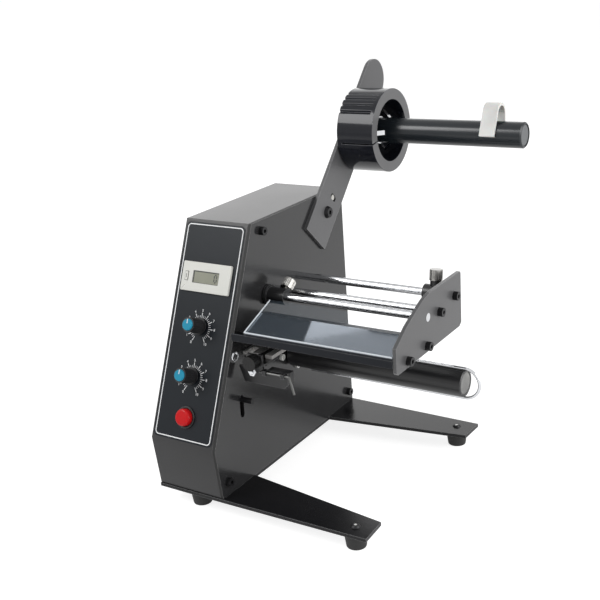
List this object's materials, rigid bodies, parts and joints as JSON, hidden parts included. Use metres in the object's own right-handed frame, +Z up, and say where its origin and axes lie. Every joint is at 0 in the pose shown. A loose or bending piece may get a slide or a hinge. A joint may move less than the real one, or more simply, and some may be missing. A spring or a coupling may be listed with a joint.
{
  "type": "label dispenser",
  "caption": "Desktop label dispenser with a sloping control panel, a hub and shaft on a leaning arm for the label roll, a peel plate and a motor-driven rewind roller.",
  "frame": {"origin": "centre of the bounding box seen from above, at floor level under the rubber feet", "axes": "X points the way the shafts and the roller stick out of the side plate (left to right seen from the front), Y points to the back, Z points up. Metres."},
  "size_m": [0.2396, 0.2974, 0.3298],
  "materials": {
    "charcoal_paint": "satin charcoal powder coat",
    "arm_paint": "satin charcoal powder coat, lightly rubbed",
    "end_plate_paint": "satin dark grey",
    "bright_steel": "polished plated steel",
    "zinc_steel": "bright zinc plate",
    "inner_steel": "plain steel",
    "polished_plate": "polished sheet, slightly blue",
    "clear_sheet": "clear, thin",
    "slate_tube": "slate satin",
    "black_anodised": "black satin",
    "black_screw": "black oxide",
    "hub_gloss": "glossy black",
    "black_plastic": "matte black",
    "white_plastic": "white nylon",
    "grey_plug": "mottled light grey",
    "blue_cap": "blue",
    "red_button": "translucent red",
    "counter_ivory": "off-white",
    "counter_glass": "grey-green liquid crystal",
    "overlay_film": "printed film, blue-black",
    "circuit_board": "green solder resist",
    "coil": "varnished laminations",
    "rubber_black": "moulded rubber"
  },
  "bodies": {
    "frame": {"base_plate": "charcoal_paint", "rubber_feet": "rubber_black", "foot_screws": "black_screw", "housing_shell": "charcoal_paint", "side_plate": "charcoal_paint", "corner_blocks": "inner_steel", "housing_screws": "black_screw", "panel_overlay": "overlay_film", "counter_case": "counter_ivory", "counter_window": "counter_glass", "length_pot": "inner_steel", "speed_pot": "inner_steel", "power_switch_body": "black_plastic", "control_board": "circuit_board", "transformer": "coil", "power_inlet": "black_plastic", "fuse_holder": "black_plastic", "unwind_arm": "arm_paint", "arm_screw": "black_screw", "arm_pin": "zinc_steel", "unwind_axle": "bright_steel", "axle_nut": "zinc_steel", "axle_ring": "inner_steel", "guide_rods": "bright_steel", "front_guide_rod": "bright_steel", "rod_screws": "black_screw", "end_plate": "end_plate_paint", "end_plate_screws": "black_screw", "peel_support": "black_anodised", "peel_plate": "polished_plate", "clear_sheet": "clear_sheet", "roller_motor": "inner_steel", "motor_screws": "zinc_steel", "feeler_rail": "zinc_steel"},
    "length_dial": {"length_knob": "black_plastic", "length_knob_cap": "blue_cap"},
    "speed_dial": {"speed_knob": "black_plastic", "speed_knob_cap": "blue_cap"},
    "power_button": {"power_button_cap": "red_button"},
    "reset_key": {"counter_reset_key": "counter_ivory"},
    "unwind_spindle": {"roll_shaft": "slate_tube", "hub_ring": "hub_gloss", "hub_springs": "bright_steel", "shaft_bushes": "white_plastic", "shaft_cap": "slate_tube"},
    "roll_stop": {"roll_clip": "white_plastic"},
    "winder": {"rewind_roller": "black_anodised", "motor_shaft": "bright_steel", "roller_drive_plug": "grey_plug", "roller_end_plug": "grey_plug"},
    "hairpin": {"liner_clip": "bright_steel"},
    "left_guide": {"left_collar": "black_anodised"},
    "left_thumb": {"left_thumb_screw": "zinc_steel"},
    "right_guide": {"right_collar": "black_anodised"},
    "right_thumb": {"right_thumb_screw": "zinc_steel"},
    "carriage": {"feeler_carriage": "black_anodised", "micro_switch": "black_plastic"},
    "feeler": {"label_feeler": "zinc_steel"},
    "adjuster": {"adjust_knob": "black_plastic"},
    "tension_slide": {"tension_peg": "black_screw"}
  },
  "joints": [
    {"name": "length_dial_turn", "type": "hinge", "parent": "frame", "child": "length_dial", "pos_m": [-0.08822, -0.11879, 0.15227], "axis": [0, -0.9135, 0.4067], "range_deg": [-150, 150]},
    {"name": "speed_dial_turn", "type": "hinge", "parent": "frame", "child": "speed_dial", "pos_m": [-0.08822, -0.13526, 0.11527], "axis": [0, -0.9135, 0.4067], "range_deg": [-150, 150]},
    {"name": "power_button_press", "type": "slide", "parent": "frame", "child": "power_button", "axis": [0, 0.9135, -0.4067], "range_m": [0, 0.0025], "stiffness_N_per_m": 400},
    {"name": "reset_key_press", "type": "slide", "parent": "frame", "child": "reset_key", "axis": [0, 0.9135, -0.4067], "range_m": [0, 0.0008], "stiffness_N_per_m": 300},
    {"name": "unwind_spin", "type": "hinge", "parent": "frame", "child": "unwind_spindle", "pos_m": [0.00517, 0.09269, 0.27247], "axis": [1, 0, 0], "continuous": true},
    {"name": "roll_stop_slide", "type": "slide", "parent": "unwind_spindle", "child": "roll_stop", "axis": [1, 0, 0], "range_m": [-0.085, 0.021]},
    {"name": "winder_spin", "type": "hinge", "parent": "frame", "child": "winder", "pos_m": [0.00517, -0.033, 0.102], "axis": [1, 0, 0], "continuous": true},
    {"name": "hairpin_pull", "type": "slide", "parent": "winder", "child": "hairpin", "axis": [1, 0, 0], "range_m": [0, 0.15]},
    {"name": "left_guide_slide", "type": "slide", "parent": "frame", "child": "left_guide", "axis": [1, 0, 0], "range_m": [0, 0.118]},
    {"name": "left_thumb_turn", "type": "hinge", "parent": "left_guide", "child": "left_thumb", "pos_m": [-0.04083, -0.061, 0.164], "axis": [0, 0.848, 0.5299], "range_deg": [0, 270]},
    {"name": "right_guide_slide", "type": "slide", "parent": "frame", "child": "right_guide", "axis": [-1, 0, 0], "range_m": [0, 0.115]},
    {"name": "right_thumb_turn", "type": "hinge", "parent": "right_guide", "child": "right_thumb", "pos_m": [0.07418, -0.0145, 0.166], "axis": [0, 0.1392, 0.9903], "range_deg": [0, 270]},
    {"name": "carriage_slide", "type": "slide", "parent": "frame", "child": "carriage", "axis": [0, 1, 0], "range_m": [-0.0028, 0.0028]},
    {"name": "adjuster_turn", "type": "hinge", "parent": "carriage", "child": "adjuster", "pos_m": [-0.03633, -0.111, 0.1275], "axis": [0, 1, 0], "range_deg": [-1441, 1441]},
    {"name": "feeler_swing", "type": "hinge", "parent": "carriage", "child": "feeler", "pos_m": [-0.01482, -0.1126, 0.1194], "axis": [1, 0, 0], "range_deg": [-15, 15], "stiffness_Nm_per_rad": 0.01},
    {"name": "tension_slide_move", "type": "slide", "parent": "frame", "child": "tension_slide", "axis": [0, 0, -1], "range_m": [0, 0.013]}
  ],
  "couplings": [
    {"joint": "adjuster_turn", "follows": "carriage_slide", "rad_per_m": 8976}
  ]
}
